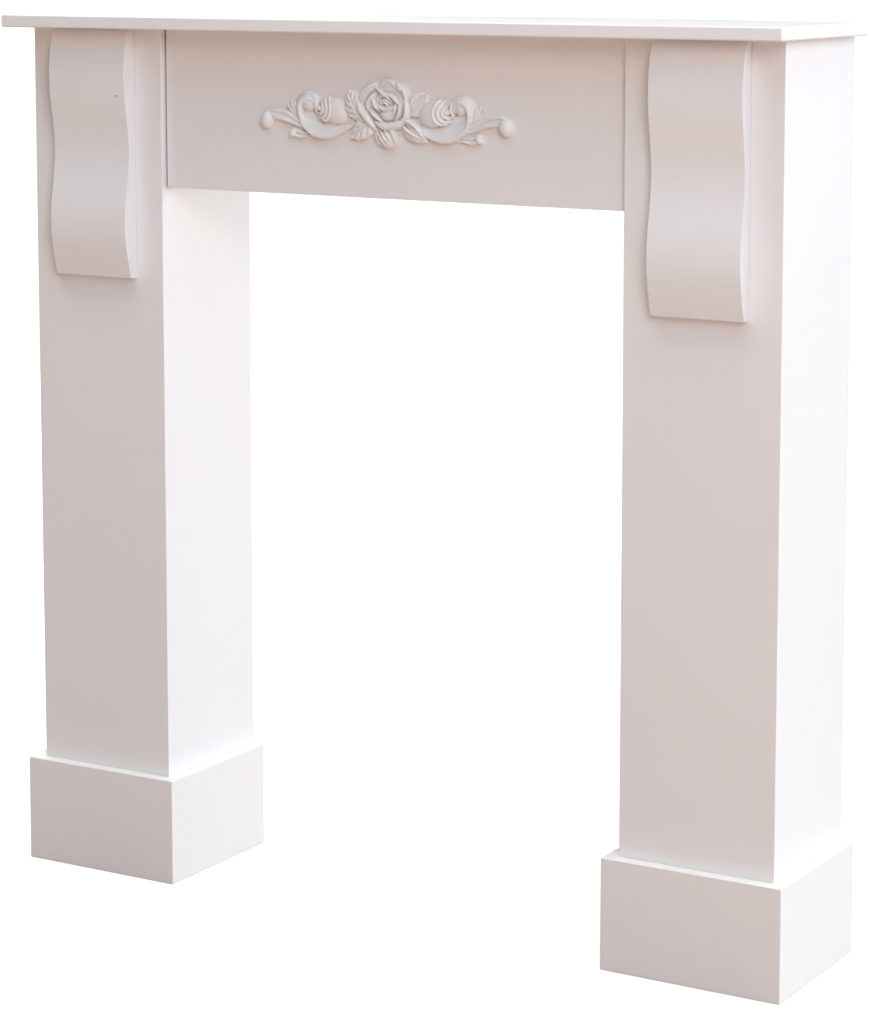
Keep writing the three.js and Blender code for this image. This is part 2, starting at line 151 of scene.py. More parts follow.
def makeFibreboard(name, pale, dark, fibre, roughness, relief):
    # Fibreboard, bare or under one thin coat: flat and dry, with short pressed fibres that mottle it
    # a little along x and a very fine nap.
    material = bpy.data.materials.new(name)
    material.use_nodes = True
    tree = material.node_tree
    shader = tree.nodes["Principled BSDF"]
    place = addNode(tree, "ShaderNodeTexCoord").outputs["Object"]
    drawn = addNode(tree, "ShaderNodeMapping", {"Vector": place, "Scale": fibreSquash}).outputs["Vector"]
    fibres = addNode(tree, "ShaderNodeTexNoise", {
        "Vector": drawn, "Scale": 1 / (fibre * mm), "Detail": 4.0, "Roughness": 0.65})
    spread = addNode(tree, "ShaderNodeMapRange", {
        "Value": fibres.outputs["Fac"], "From Min": noiseRange[0], "From Max": noiseRange[1]})
    tone = addNode(tree, "ShaderNodeMix", {"Factor": spread.outputs["Result"]}, data_type="RGBA")
    colourSocket(tone, "A").default_value = linearColour(pale)
    colourSocket(tone, "B").default_value = linearColour(dark)
    tree.links.new(colourSocket(tone, "Result", tone.outputs), shader.inputs["Base Color"])
    shader.inputs["Roughness"].default_value = roughness
    bump = addNode(tree, "ShaderNodeBump", {
        "Height": fibres.outputs["Fac"], "Strength": 1.0, "Distance": relief * mm})
    tree.links.new(bump.outputs["Normal"], shader.inputs["Normal"])
    return material


primedBoard = makeFibreboard("rolledPrimerOnFibreboard", **primer)
bareBoard = makeFibreboard("sawnFibreboardEdge", **sawnEdge)
print("materials made")


# Meshes

def meshFromArrays(name, points, faces, material):
    # points in m, and faces as the numbers of their points
    mesh = bpy.data.meshes.new(name)
    mesh.from_pydata(np.asarray(points).tolist(), [], [list(face) for face in faces])
    mesh.materials.append(material)
    mesh.validate()
    piece = bpy.data.objects.new(name, mesh)
    bpy.context.scene.collection.objects.link(piece)
    return piece


def gridFaces(number):
    # the four corners of each cell of a grid of point numbers, anticlockwise where rows go up
    corners = (number[:-1, :-1], number[:-1, 1:], number[1:, 1:], number[1:, :-1])
    return np.stack([corner.ravel() for corner in corners], 1)


def sweptOutline(name, outline, low, high, material, others=()):
    # A closed outline seen from above, carried straight up from low to high, with flat ends. The others
    # are pairs of a material and the numbers of the walls that it covers.
    count = len(outline)
    outline = np.asarray(outline, float)
    ring = np.arange(count)
    after = (ring + 1) % count
    points = np.vstack([np.column_stack([outline, np.full(count, z)]) for z in (low, high)])
    walls = np.column_stack([ring, after, after + count, ring + count]).tolist()
    piece = meshFromArrays(name, points, walls + [ring[::-1].tolist(), (ring + count).tolist()], material)
    for number, (other, covered) in enumerate(others, 1):
        piece.data.materials.append(other)
        for wall in covered:
            piece.data.polygons[wall].material_index = number
    return piece


def easeArrises(piece, radius, steps=3):
    # rounds every sharp edge to a quarter circle, and keeps the flats shaded flat
    piece.data.shade_smooth()
    bevel = piece.modifiers.new("easedArrises", "BEVEL")
    bevel.width = radius * mm
    bevel.segments = steps
    bevel.limit_method = "ANGLE"
    bevel.angle_limit = math.radians(boards["sharpAngle"])
    bevel.harden_normals = True
    return piece


def finishPiece(piece, slot, *nodes):
    # the piece stays with the whole mantelpiece and stands for the nodes
    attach(piece, "root")
    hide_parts(*nodes)


# Boards

boards = {
    "arris": 0.9, "plinthArris": 1.3, "shelfArris": 2.0,   # mm, radius of the eased edges
    "friezeGap": 1.1,                                      # mm, the dark joint at each end of the frieze
    "sharpAngle": 30,                                      # degrees, an edge that turns more is eased
}


def flatBoard(name, node, radius, gap=0, others=()):
    # the node's box, less the gap at its left and right ends
    low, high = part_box(node)
    left, right = low.x + gap * mm, high.x - gap * mm
    outline = [(left, low.y), (right, low.y), (right, high.y), (left, high.y)]
    board = easeArrises(sweptOutline(name, outline, low.z, high.z, boardLacquer, others), radius)
    finishPiece(board, "white_lacquer", node)


def openBox(name, label, radius):
    # three boards whose joints the lacquer has filled: one outline round an open back
    nodes = [f"{label}_{part}" for part in ("front_board", "outer_side", "inner_side")]
    front, outer, inner = (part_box(node) for node in nodes)
    left, right = sorted((outer, inner), key=lambda box: box[0].x)
    (x0, y0, z0), (x3, frontBack, z1) = front
    x1, x2, back = left[1].x, right[0].x, outer[1].y
    outline = [(x0, y0), (x3, y0), (x3, back), (x2, back),
               (x2, frontBack), (x1, frontBack), (x1, back), (x0, back)]
    box = easeArrises(sweptOutline(name, outline, z0, z1, boardLacquer, [(primedBoard, (3, 4, 5))]), radius)
    finishPiece(box, "white_lacquer", *nodes)


flatBoard("mantelShelf", "shelf", boards["shelfArris"])
flatBoard("friezeBoard", "frieze_panel", boards["arris"], boards["friezeGap"],
          [(primedBoard, (2,)), (bareBoard, (1, 3))])
for sideName in ("left", "right"):
    openBox(f"{sideName}Leg", f"{sideName}_leg", boards["arris"])
    openBox(f"{sideName}Plinth", f"{sideName}_plinth", boards["plinthArris"])
print("boards made")


# Brackets

bracket = {
    # mm out from the leg
    "topDepth": 6, "upperBulge": 22, "waist": 12.8, "lowerBulge": 22.5, "footDepth": 11.5,
    "upperAt": 0.2, "waistAt": 0.49, "lowerAt": 0.785,   # shares of the height, from the top
    "arris": 0.8,                                        # mm
    "steps": 150, "columns": 15,                         # lines of the grid down and across the wavy face
    # on the left bracket: the dimple in mm, the bare board in it and the finer grid about it
    "nick": {"at": (-361.5, 964.4), "radius": 1.5, "depth": 0.7,
             "bareRadius": 1.3, "core": 0.75, "colour": "#8a7563",   # fully bare in the core's share of it
             "reach": 1.6, "lines": 13},                             # radii each way, and lines in them
}


def bracketDepth(share):
    # a quarter round to the upper bulge, half a cosine to the waist, half a cosine to the lower bulge,
    # and a quarter of a cosine in to the foot
    b = bracket

    def halfWave(start, end, startDepth, endDepth):
        # half a cosine from the depth at one share to the depth at the other
        turn = (share - start) / (end - start)
        return startDepth + (endDepth - startDepth) * (1 - np.cos(np.pi * turn)) / 2

    rise = np.sqrt(np.clip(1 - (1 - share / b["upperAt"]) ** 2, 0, 1))
    foot = np.cos(np.pi / 2 * (share - b["lowerAt"]) / (1 - b["lowerAt"]))
    return np.select(
        [share < b["upperAt"], share < b["waistAt"], share < b["lowerAt"]],
        [b["topDepth"] + (b["upperBulge"] - b["topDepth"]) * rise,
         halfWave(b["upperAt"], b["waistAt"], b["upperBulge"], b["waist"]),
         halfWave(b["waistAt"], b["lowerAt"], b["waist"], b["lowerBulge"])],
        b["footDepth"] + (b["lowerBulge"] - b["footDepth"]) * foot)


def makeBracket(name, node, material):
    # The wavy face is a grid of height by width, closer near the top where it curves most and about the nick.
    # Flat sides, ends and a flat back close it.
    low, high = (np.array(corner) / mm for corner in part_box(node))
    even = np.linspace(0, 1, bracket["steps"])
    shares = np.unique(np.concatenate([bracket["upperAt"] * (1 - np.cos(np.pi / 2 * even[::4])), even]))
    across = np.linspace(low[0], high[0], bracket["columns"])
    nick = bracket["nick"]
    near = np.linspace(-nick["reach"], nick["reach"], nick["lines"]) * nick["radius"]
    if low[0] < nick["at"][0] < high[0]:
        across = np.unique(np.concatenate([across, nick["at"][0] + near]))
        shares = np.unique(np.concatenate([shares, (high[2] - nick["at"][1] - near) / (high[2] - low[2])]))
    z = high[2] - shares * (high[2] - low[2])
    x, zGrid = np.meshgrid(across, z)
    y = high[1] - bracketDepth(shares)[:, None] + 0 * x
    away = np.hypot(x - nick["at"][0], zGrid - nick["at"][1]) / nick["radius"]
    y += nick["depth"] * np.clip(1 - away ** 2, 0, 1)
    rows, columns = x.shape
    points = np.column_stack([x.ravel(), y.ravel(), zGrid.ravel()])
    corners = [(low[0], high[1], high[2]), (high[0], high[1], high[2]),
               (low[0], high[1], low[2]), (high[0], high[1], low[2])]
    points = np.vstack([points, corners]) * mm
    grid = np.arange(rows * columns).reshape(rows, columns)
    topLeft, topRight, footLeft, footRight = rows * columns + np.arange(4)
    closing = [
        [topLeft, *grid[0], topRight][::-1],
        [footLeft, *grid[-1], footRight],
        [*grid[:, 0], footLeft, topLeft][::-1],
        [*grid[:, -1], footRight, topRight],
        [topLeft, topRight, footRight, footLeft],
    ]
    faces = gridFaces(grid.T).tolist() + [np.array(ring).tolist() for ring in closing]
    piece = meshFromArrays(name, points, faces, material)
    mesh = bmesh.new()
    mesh.from_mesh(piece.data)
    bmesh.ops.recalc_face_normals(mesh, faces=mesh.faces)
    mesh.to_mesh(piece.data)
    mesh.free()
    finishPiece(easeArrises(piece, bracket["arris"], steps=2), "white_lacquer", node)


# the chip's middle lies on the wavy face
nickX, nickZ = bracket["nick"]["at"]
blockLow, blockHigh = (np.array(corner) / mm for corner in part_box("left_bracket"))
nickShare = (blockHigh[2] - nickZ) / (blockHigh[2] - blockLow[2])
nickY = float(blockHigh[1] - bracketDepth(nickShare))
chippedLacquer = makeLacquer("chippedSatinLacquer", lacquer, {**bracket["nick"], "at": (nickX, nickY, nickZ)})
makeBracket("leftBracket", "left_bracket", chippedLacquer)
makeBracket("rightBracket", "right_bracket", boardLacquer)
print("brackets made")


# The cast swag of roses, leaves and scrolls

swag = {
    "centre": (0, 950),     # mm, the middle of the frieze
    "edge": 1.6,            # mm, thickness of the casting at its rim
    "cell": 0.42,           # mm between the points of the carved surface
    "paintPasses": 2,       # how far the lacquer has softened the creases
    # the four crease settings below shape the painted shade: a grey laid into the creases in place of their
    # shadow
    "creaseWidth": 1.6,     # mm, width of the blur that finds the creases
    "creaseDepth": 5.0,     # mm below that blur where the crease tone is full
    "creasePower": 0.8,     # under 1 darkens the shallow creases
    "creaseInset": 1.5,     # cells inside the outline that stay free of it
    "reach": ((-174, 174), (-41, 46)),   # mm, the ends of the grid that it is carved on
    "window": 4,            # mm that is worked out beyond the widest a part can be
    "outerCells": 3,        # cells outside the outline where the depth stops falling
    "leastSlope": 0.2,      # of the depth, so that no rim point is thrown far
}


def smoothStep(start, end, value):
    # 3 t squared minus 2 t cubed, with t the clipped share of the way from start to end
    t = np.clip((value - start) / (end - start), 0, 1)
    return t * t * (3 - 2 * t)


def smoothPath(points, count=40):
    # Catmull-Rom: each span is a cubic whose ends point along the line between their neighbours
    p = np.array(points, float)
    p = np.vstack([2 * p[0] - p[1], p, 2 * p[-1] - p[-2]])
    place = np.linspace(0, len(p) - 3, count)
    span = np.minimum(place.astype(int), len(p) - 4)
    t = (place - span)[:, None]
    a, b, c, d = (p[span + k] for k in range(4))
    return (2 * b + (c - a) * t + (2 * a - 5 * b + 4 * c - d) * t ** 2 + (3 * b - a - 3 * c + d) * t ** 3) / 2


def nearestOnPath(u, v, path):
    # for each point: its distance to the path, the side it lies on, and the share of the path before it
    lengths = np.hypot(*np.diff(path, axis=0).T)
    before = np.concatenate([[0], np.cumsum(lengths)])
    distance, side, share = np.full(u.shape, 1e9), np.ones(u.shape), np.zeros(u.shape)
    for k, length in enumerate(lengths):
        (au, av), (du, dv) = path[k], path[k + 1] - path[k]
        step = np.clip(((u - au) * du + (v - av) * dv) / length ** 2, 0, 1)
        gu, gv = u - au - step * du, v - av - step * dv
        gap = np.hypot(gu, gv)
        closer = gap < distance
        distance = np.where(closer, gap, distance)
        side = np.where(closer, np.where(du * gv - dv * gu < 0, -1.0, 1.0), side)
        share = np.where(closer, (before[k] + step * length) / before[-1], share)
    return distance, side, share


def along(values, share):
    # the values, evenly spaced along the path and joined by the same kind of curve
    curve = smoothPath(np.column_stack([values, values]))[:, 0]
    return np.interp(share, np.linspace(0, 1, len(curve)), curve)


bandShape = {
    "slope": 1.3,           # power of the section on the broad side of a leaning ridge
    "channel": 0.42,        # width of a hollow, as a share of the half width
    "endFade": 0.15,        # share of the length where a hollow fades at each end
}


def strip(u, v, path, width, crest, lean=0.0, hollow=0.0, flat=2.0):
    # A band along a path. Its section is the root of 1 - x^flat, with x the distance from the ridge as a
    # share of the half width. lean moves the ridge off the middle, and hollow sinks a bell-shaped channel.
    distance, side, share = nearestOnPath(u, v, smoothPath(path))
    half = along(width, share)
    across = np.clip(side * distance / half, -1, 1)
    out = np.where(across > lean, (across - lean) / (1 - lean), (lean - across) / (1 + lean))
    section = np.sqrt(np.clip(1 - np.clip(out, 0, 1) ** flat, 0, 1))
    if lean:
        broad = across < lean if lean > 0 else across > lean
        section = np.where(broad, 1 - np.clip(out, 0, 1) ** bandShape["slope"], section)
    fade = smoothStep(0, bandShape["endFade"], share) * smoothStep(0, bandShape["endFade"], 1 - share)
    section = section - hollow * np.exp(-(across / bandShape["channel"]) ** 2) * fade
    return half - distance, swag["edge"] + (along(crest, share) - swag["edge"]) * section


def dome(u, v, at, size, crest, turn=0.0, flat=2.0):
    # An egg-shaped swelling: the root of 1 - e^flat, with e the distance from the middle on turned axes,
    # each as a share of its half size.
    angle = np.radians(turn)
    x = ((u - at[0]) * np.cos(angle) + (v - at[1]) * np.sin(angle)) / size[0]
    y = (-(u - at[0]) * np.sin(angle) + (v - at[1]) * np.cos(angle)) / size[1]
    e = np.hypot(x, y)
    return (1 - e) * min(size), swag["edge"] + (crest - swag["edge"]) * np.sqrt(np.clip(1 - e ** flat, 0, 1))


leafShape = {
    "belly": 0.85,          # power of the share of the length, under 1 for a wider foot
    "fullness": 0.75,       # power of the sine, under 1 for a rounder outline
    "notch": 0.045,         # waves of the edge, as a share of the width
    "sweep": 0.28,          # share of the length by which a vein runs forward to the edge
    "veinWidth": 0.17,      # share of the space between veins
    "veinFoot": (0.05, 0.3),             # shares of the half width where a vein starts and is full
    "veinFade": 0.35,       # share of its depth that it loses at the edge
    "edgeHeight": 0.45, "endHeight": 0.62,   # shares of the full height
    "ribWidth": 0.8,        # mm
    "ribEnd": 0.2,          # share of the length where the midrib fades at the tip
}


def leaf(u, v, foot, tip, width, crest, bend=0.0, veins=4, cut=1.0, rib=1.2, tilt=0.0):
    # A pointed blade about a bent midrib. Its half width is a sine of the share of its length, it swells
    # as a half round across, tilt raises one half over the other, and bells sink the midrib and the veins.
    s = leafShape
    foot, tip = np.array(foot, float), np.array(tip, float)
    length = np.hypot(*(tip - foot))
    du, dv = (tip - foot) / length
    share = ((u - foot[0]) * du + (v - foot[1]) * dv) / length
    off = (v - foot[1]) * du - (u - foot[0]) * dv - bend * 4 * share * (1 - share)
    held = np.clip(share, 1e-4, 1 - 1e-4)
    half = width * np.sin(np.pi * held ** s["belly"]) ** s["fullness"]
    across = np.clip(np.abs(off) / half, 0, 1)
    notch = s["notch"] * width * np.cos(2 * np.pi * veins * (held - s["sweep"]))
    inside = np.minimum(half + notch - np.abs(off), np.minimum(share, 1 - share) * length)
    swell = s["edgeHeight"] + (1 - s["edgeHeight"]) * np.sqrt(1 - across ** 2)
    swell = swell * (s["endHeight"] + (1 - s["endHeight"]) * np.sin(np.pi * held))
    phase = veins * (held - s["sweep"] * across)
    vein = np.exp(-((phase - np.round(phase)) / s["veinWidth"]) ** 2)
    vein = vein * smoothStep(*s["veinFoot"], across) * (1 - s["veinFade"] * across)
    groove = rib * np.exp(-(off / s["ribWidth"]) ** 2) * smoothStep(0, s["ribEnd"], 1 - held)
    lift = tilt * np.clip(off / half, -1, 1) * np.sin(np.pi * held)
    return inside, swag["edge"] + (crest - swag["edge"]) * swell + lift - groove - cut * vein


petalShape = {
    "droop": 0.22,          # share of the height that the rim loses at its ends
    "narrowing": 0.35,      # share of the skirt that goes there
    "curlWidth": 1.2,       # mm
}


def petal(u, v, path, crest, roll=3.0, skirt=9.0, drop=4.5, curl=0.0):
    # The rolled rim of a petal, along a path with the heart of the rose on its right. Beyond the path the
    # section is a quarter round of width roll. On the heart side it sinks by drop over the skirt, as a
    # quarter sine, and curl is the height of a bell-shaped lip along the path.
    distance, side, share = nearestOnPath(u, v, smoothPath(path))
    end = np.abs(2 * share - 1)
    top = along(crest, share)
    top = swag["edge"] + (top - swag["edge"]) * (1 - petalShape["droop"] * end ** 4)
    outward = side * distance
    rim = swag["edge"] + (top - swag["edge"]) * np.sqrt(np.clip(1 - (outward / roll) ** 2, 0, 1))
    cup = top - drop * np.sin(np.pi / 2 * np.clip(-outward / skirt, 0, 1))
    cup = cup + curl * np.exp(-(outward / petalShape["curlWidth"]) ** 2)
    inner = skirt * (1 - petalShape["narrowing"] * end ** 3) + outward
    return np.where(outward >= 0, roll - outward, inner), np.where(outward >= 0, rim, cup)


# One side of the swag, which is repeated on the other
swagSide = [
    # the thin web that joins the parts
    (strip, dict(path=[(46, -8), (72, -11), (92, -9), (104, -2), (108, 6)], width=[6, 9, 10, 9, 6],
                 crest=[3, 3], flat=8.0)),
    # the bowl, hollow towards the bud, with its rim along the lower edge
    (strip, dict(path=[(40, -8), (50, -13.5), (62, -17), (77, -17.5), (92, -16), (104, -10), (112, -2)],
                 width=[1.6, 5, 8.4, 11.6, 11.4, 8.6, 5], crest=[5, 7.4, 8.4, 8.8, 8.8, 8.4, 7.4], lean=-0.8)),
    # the scroll over the bowl, with a full round head
    (strip, dict(path=[(110, -10), (115, 0), (114.5, 11), (108.5, 18), (100, 19.5), (94, 15), (93, 9)],
                 width=[3.6, 5.2, 6.4, 7.0, 6.6, 5.2, 3.4], crest=[7, 8.6, 9.8, 10.4, 10, 8.8, 7], lean=0.2)),
    (dome, dict(at=(102.5, 12), size=(9.6, 9), turn=30, crest=9.2)),
    (petal, dict(path=[(97, 21.5), (92, 16), (90.5, 9), (92.5, 3)], crest=[7.4, 8.6, 9, 8], roll=1.3,
                 skirt=3, drop=1.6)),
    # the low leaf under the bowl, flared and folded at its end
    (strip, dict(path=[(94, -24), (106, -24.6), (116, -24.6), (125, -21.5)], width=[1.8, 2.8, 4.6, 5.2],
                 crest=[4.5, 5.2, 6.4, 6.6], lean=-0.3, hollow=0.8)),
    (dome, dict(at=(125.5, -23.6), size=(5.6, 4.2), turn=-50, crest=7.2)),
    # three thin husks over the stem
    *((strip, dict(path=[(117.5, -4), ((117.5 + end[0]) / 2 + 1.2, (end[1] - 4) / 2 - 1.5), end],
                   width=[1.7, half, 1.0], crest=[4.2, 5.4, 4.2])) for end, half in
      (((122.5, 15), 2.0), ((127.5, 14), 2.2), ((132, 10), 1.8))),
    # the fluted stem and the knob at the end
    (strip, dict(path=[(108, -14.5), (121, -9.5), (133, -3.5), (145, -0.5), (156, -0.5), (163, -4)],
                 width=[3.0, 5.2, 6.4, 6.2, 5.2, 4.6], crest=[5, 6.4, 7.4, 8, 9, 9.6], hollow=0.45)),
    (strip, dict(path=[(120, -12.5), (133, -8.6), (146, -6), (155, -6.5)], width=[1.6, 2.4, 2.4, 1.6],
                 crest=[5, 7, 7.6, 7])),
    (dome, dict(at=(160.2, -8.4), size=(9.2, 11), turn=12, crest=11.2)),
    # the rosebud: an egg, wrapping petals and a curled end
    (dome, dict(at=(66, 4), size=(20, 15.6), turn=14, crest=11)),
    (petal, dict(path=[(82.5, -7), (75, -7.4), (69.5, -1), (68.5, 9), (72.5, 18.5)],
                 crest=[9.5, 11.6, 12.2, 11.8, 9.8], roll=1.7, skirt=5, drop=2.8, curl=0.4)),
    (petal, dict(path=[(87, -4), (80.5, -4.8), (75, 0.5), (74.5, 10), (79, 17.6)],
                 crest=[8.5, 10.8, 11.6, 11.4, 9.4], roll=1.5, skirt=4.2, drop=2.5, curl=0.3)),
    (petal, dict(path=[(90.5, 2), (86, -0.6), (80.8, 2), (79.8, 8.4), (84, 13.6)],
                 crest=[7.6, 9.8, 11, 10.8, 8.8], roll=1.3, skirt=3, drop=2.2)),
    (dome, dict(at=(85, 6.6), size=(3.4, 4.2), turn=-20, crest=10.8)),
]

# The rose and its leaves
swagMiddle = [
    (leaf, dict(foot=(-25, -6), tip=(-46, 30), width=13.5, crest=9.8, bend=3.0, veins=5, cut=3.2, rib=2.4,
                tilt=1.2)),
    (leaf, dict(foot=(31, 4), tip=(58, 26), width=11.0, crest=5.6, bend=-3.0, veins=2, cut=0.5, tilt=-0.8,
                rib=1.0)),
    (petal, dict(path=[(35, 9), (36.5, 17), (42, 24.5), (50, 27.5)], crest=[4.6, 6.2, 6.2, 4.8], roll=1.4,
                 skirt=4, drop=1.6)),
    (leaf, dict(foot=(-10, -6), tip=(-45, -27), width=12.8, crest=9.0, bend=-1.5, cut=2.2, rib=1.8,
                tilt=1.0)),
    # the folded leaf on the lower right, with thick turned edges
    (leaf, dict(foot=(23, -3), tip=(58, -28), width=11.2, crest=9.0, bend=-1.6, veins=3, cut=1.2, rib=4.0,
                tilt=0.8)),
    (strip, dict(path=[(25, -3), (36, -5.2), (46, -11.5), (54, -22.5)], width=[1.6, 3.2, 3.2, 1.6],
                 crest=[9, 12.4, 11.8, 8.4])),
    (strip, dict(path=[(26, -9), (33, -14.6), (42, -20), (51, -24)], width=[1.4, 2.6, 2.6, 1.4],
                 crest=[8.6, 11.6, 11, 8.2])),
    # the half-open bud under the rose, and the sepal beside it
    (leaf, dict(foot=(-4, -10), tip=(-7, -33), width=6.4, crest=7.2, bend=-1.0, cut=2.0, rib=1.4)),
    (dome, dict(at=(6.5, -25), size=(12, 12.4), turn=-35, crest=10.4)),
    (strip, dict(path=[(-6, -20.5), (-1, -26), (4, -34)], width=[1.2, 2.0, 1.2], crest=[8.8, 11, 8.6])),
    (strip, dict(path=[(-3, -16.5), (2.5, -22.5), (8.5, -31.5)], width=[1.4, 2.3, 1.4],
                 crest=[9.6, 12.2, 9.6])),
    (strip, dict(path=[(3, -16), (8, -21), (12.5, -28.5)], width=[1.4, 2.6, 1.6], crest=[10, 12.4, 9.8])),
    (petal, dict(path=[(8, -13.5), (14, -17), (17.6, -24), (16, -31)], crest=[9, 11.2, 11, 8.6], roll=1.8,
                 skirt=5, drop=1.6)),
    # the body of the rose
    (dome, dict(at=(2, 13), size=(30, 25), crest=7.0, flat=6.0)),
    # outer petals
    (petal, dict(path=[(-29, 14), (-27.5, 22), (-21.5, 30), (-12.5, 35.8), (-4, 36.4)],
                 crest=[9.4, 11, 11.4, 11.2, 9.4], roll=3.2, skirt=7, drop=3.0)),
    (strip, dict(path=[(-27, 13), (-23.5, 22), (-16, 29.5), (-7, 33.5)], width=[1.6, 3.4, 3.8, 2.2],
                 crest=[9.4, 11.4, 11.8, 9.8])),
    (petal, dict(path=[(-3.5, 33.5), (-0.5, 38.5), (6, 41), (13, 39), (17.5, 33)],
                 crest=[8.4, 10.2, 10.6, 10.2, 9], roll=2.6, skirt=7, drop=3.8, curl=0.4)),
    (petal, dict(path=[(16, 37), (22, 36), (28.5, 31), (31.5, 23.5), (30.5, 16)],
                 crest=[9.8, 11.6, 11.6, 10.8, 9.2], roll=2.8, skirt=6, drop=4.2, curl=0.6)),
    (dome, dict(at=(24.5, 32.5), size=(4.8, 3.8), turn=-40, crest=13)),
    (strip, dict(path=[(30, 18), (32.5, 11), (31.5, 3), (27, -4)], width=[2.2, 4.2, 4.6, 3.0],
                 crest=[10, 13, 13, 10.6], lean=0.15)),
    (strip, dict(path=[(23.8, 15), (24.6, 8), (22.6, 1), (18.5, -4)], width=[1.4, 2.4, 2.6, 1.8],
                 crest=[10.4, 12.8, 12.8, 10.8])),
    # the two fat rolls at the foot of the rose, turned outward
    (strip, dict(path=[(-33, 16), (-30, 11), (-27, 5), (-21, -1.5), (-15, -8), (-10.5, -13)],
                 width=[3.6, 5.4, 5.2, 5.6, 5.2, 3.2], crest=[10, 12.6, 12.4, 12.8, 12.2, 9.6], flat=2.4)),
    (strip, dict(path=[(-7, -7.4), (0, -10.6), (8, -11.4), (17, -10), (24, -7.8), (29, -4)],
                 width=[3.4, 5.2, 5.6, 5.4, 4.8, 3.0], crest=[10.4, 12.8, 13.2, 13, 12.4, 10.2], flat=2.6)),
    # inner petals
    (petal, dict(path=[(-18.5, 6), (-19, 14), (-14.5, 21), (-8.5, 27)], crest=[10, 12, 12.6, 11], roll=2.2,
                 skirt=6, drop=4.4)),
    (strip, dict(path=[(-6, 31.4), (-1.5, 29), (5, 25.2), (12, 24.4), (18, 21), (22.6, 15)],
                 width=[1.8, 3.0, 3.2, 3.0, 3.2, 1.8], crest=[11.4, 14, 14, 13.4, 14.4, 12])),
    (petal, dict(path=[(-1, 5.5), (-6, 10), (-9, 15.5), (-13.5, 21.5)], crest=[12.6, 14.2, 14, 11.8],
                 roll=2.2, skirt=3.8, drop=4.6, curl=0.6)),
    (strip, dict(path=[(-15, 7.5), (-10.5, 3), (-6, -1), (-0.5, -5.4)], width=[1.6, 3.0, 3.0, 1.8],
                 crest=[11.4, 14, 13.8, 11.4])),
    # the cupped petal in front of the heart, smooth and broad
    (dome, dict(at=(8.4, 3.0), size=(11.6, 8.6), turn=4, crest=13, flat=3.0)),
    (petal, dict(path=[(18.5, 13), (14.5, 8.8), (8, 7.4), (1.5, 8.6), (-3.5, 12.5)],
                 crest=[13.2, 15, 15.2, 15, 13.2], roll=2.0, skirt=4.5, drop=5.4, curl=0.5)),
    (petal, dict(path=[(19.5, 16), (19.5, 9.5), (17, 3.5), (12.5, -1)], crest=[12.4, 14.4, 14, 12.2],
                 roll=1.8, skirt=3.4, drop=4.2, curl=0.4)),
    # the heart, a folded tip wound in on itself
    (petal, dict(path=[(-5.5, 15.5), (-3, 21), (3, 24), (9.5, 22), (14, 17.5)],
                 crest=[12.2, 14.2, 14.4, 14.4, 13], roll=1.7, skirt=3.4, drop=4.8, curl=0.3)),
    (petal, dict(path=[(0, 12.5), (1.5, 18), (6.5, 19.5), (10.5, 15.5)], crest=[12.4, 14.8, 14.8, 13],
                 roll=1.5, skirt=2.6, drop=3.8)),
    (petal, dict(path=[(3, 15), (6, 16.2), (8.5, 12.5)], crest=[12.8, 14.8, 13.4], roll=1.2, skirt=1.8,
                 drop=2.6)),
]


def carve(u, v):
    # How far each point is inside the outline, and how high the casting stands there: the greatest of its
    # parts. A part is only worked out inside its own window.
    inside, height = np.full(u.shape, -1e3), np.full(u.shape, swag["edge"])
    parts = [(1, *part) for part in swagSide + swagMiddle] + [(-1, *part) for part in swagSide]
    for mirror, shape, settings in parts:
        given = [settings[key] for key in ("path", "at", "foot", "tip") if key in settings]
        anchors = np.vstack([np.reshape(places, (-1, 2)) for places in given])
        reach = swag["window"] + max(np.max(settings[key]) for key in ("width", "size", "roll", "skirt")
                                     if key in settings)
        low, high = anchors.min(0) - reach, anchors.max(0) + reach
        x = mirror * u
        near = np.nonzero((x > low[0]) & (x < high[0]) & (v > low[1]) & (v < high[1]))
        depth, level = shape(x[near], v[near], **settings)
        inside[near] = np.maximum(inside[near], depth)
        height[near] = np.where(depth > 0, np.maximum(height[near], level), height[near])
    return inside, height


def blurred(grid, passes):
    # Each point becomes half of itself and a quarter of each neighbour, along both axes in turn. n passes
    # blur as a bell does whose width is the root of n / 2 cells.
    for _ in range(passes):
        for axis in (0, 1):
            grid = (np.roll(grid, 1, axis) + 2 * grid + np.roll(grid, -1, axis)) / 4
    return grid


def lonelySides(faceSets):
    # All directed sides of the faces, and the rim: those that no other face runs along the other way. A side
    # is known by its two numbers, the first times the span plus the second.
    sides = np.vstack([faces[:, [k, (k + 1) % faces.shape[1]]]
                       for faces in faceSets for k in range(faces.shape[1])])
    span = sides.max() + 1
    return sides, sides[~np.isin(sides[:, 0] * span + sides[:, 1], sides[:, 1] * span + sides[:, 0])]


def oneSheet(faceSets, count):
    # Drops the faces round each point where the rim touches itself, then all sheets but the largest. A sheet
    # is found by giving each point the lowest number among those joined to it, until nothing changes.
    while True:
        sides, rim = lonelySides(faceSets)
        crowded = np.bincount(rim[:, 0], minlength=count) > 1
        if crowded.any():
            faceSets = [faces[~crowded[faces].any(axis=1)] for faces in faceSets]
            continue
        label, before = np.arange(count), None
        while before is None or (label != before).any():
            before = label.copy()
            lowest = np.minimum(label[sides[:, 0]], label[sides[:, 1]])
            for column in (0, 1):
                np.minimum.at(label, label[sides[:, column]], lowest)
            label = label[label]
        main = np.bincount(label[sides[:, 0]]).argmax()
        if (label[sides[:, 0]] == main).all():
            return faceSets, rim
        faceSets = [faces[label[faces[:, 0]] == main] for faces in faceSets]


